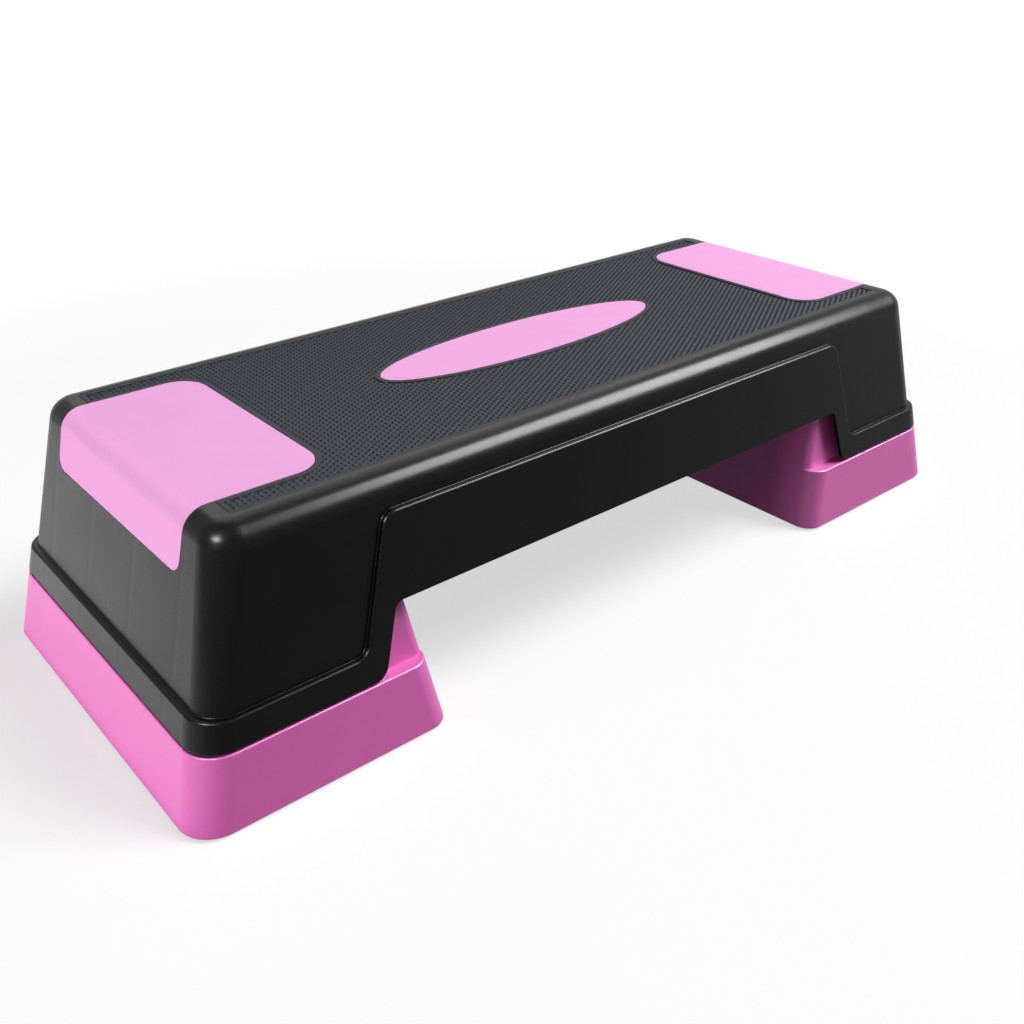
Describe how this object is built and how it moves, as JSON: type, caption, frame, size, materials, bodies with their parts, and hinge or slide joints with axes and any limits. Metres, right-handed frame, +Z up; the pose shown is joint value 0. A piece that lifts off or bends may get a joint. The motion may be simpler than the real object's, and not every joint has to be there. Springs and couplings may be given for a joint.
{
  "type": "aerobic step platform",
  "caption": "Low exercise step: hollow black deck with a nubbed tread mat, coloured end pads and oval inlay, on plug-in riser blocks with rubber feet.",
  "frame": {"origin": "on the floor, under the middle of the platform", "axes": "+X along the platform's length, +Y across it to the back, +Z up"},
  "size_m": [0.704, 0.286, 0.1705],
  "materials": {
    "black_shell": "moulded polypropylene with a satin sheen",
    "mat_rubber": "matt moulded rubber with pyramid nubs",
    "pink_pad": "matt moulded plastic with a fine grain",
    "pink_riser": "matt moulded plastic with a fine grain",
    "foot_rubber": "plain moulded rubber",
    "screw_steel": "bright zinc plate"
  },
  "bodies": {
    "riser_left": {"riser_left": "pink_riser", "riser_left_foot_1": "foot_rubber", "riser_left_foot_2": "foot_rubber", "riser_left_foot_3": "foot_rubber", "riser_left_foot_4": "foot_rubber"},
    "platform": {"deck_shell": "black_shell", "tread_mat": "mat_rubber", "end_pad_left": "pink_pad", "end_pad_right": "pink_pad", "centre_inlay": "pink_pad", "end_pad_left_screws": "screw_steel", "end_pad_right_screws": "screw_steel", "centre_inlay_screws": "screw_steel", "deck_foot_1": "foot_rubber", "deck_foot_2": "foot_rubber", "deck_foot_3": "foot_rubber", "deck_foot_4": "foot_rubber"},
    "riser_right": {"riser_right": "pink_riser", "riser_right_foot_1": "foot_rubber", "riser_right_foot_2": "foot_rubber", "riser_right_foot_3": "foot_rubber", "riser_right_foot_4": "foot_rubber"}
  },
  "joints": [
    {"name": "platform_lift", "type": "slide", "parent": "riser_left", "child": "platform", "axis": [0, 0, 1], "range_m": [0, 0.1]},
    {"name": "riser_right_release", "type": "slide", "parent": "platform", "child": "riser_right", "axis": [0, 0, -1], "range_m": [0, 0.1]}
  ],
  "couplings": [
    {"joint": "riser_right_release", "follows": "platform_lift", "ratio": 1}
  ]
}
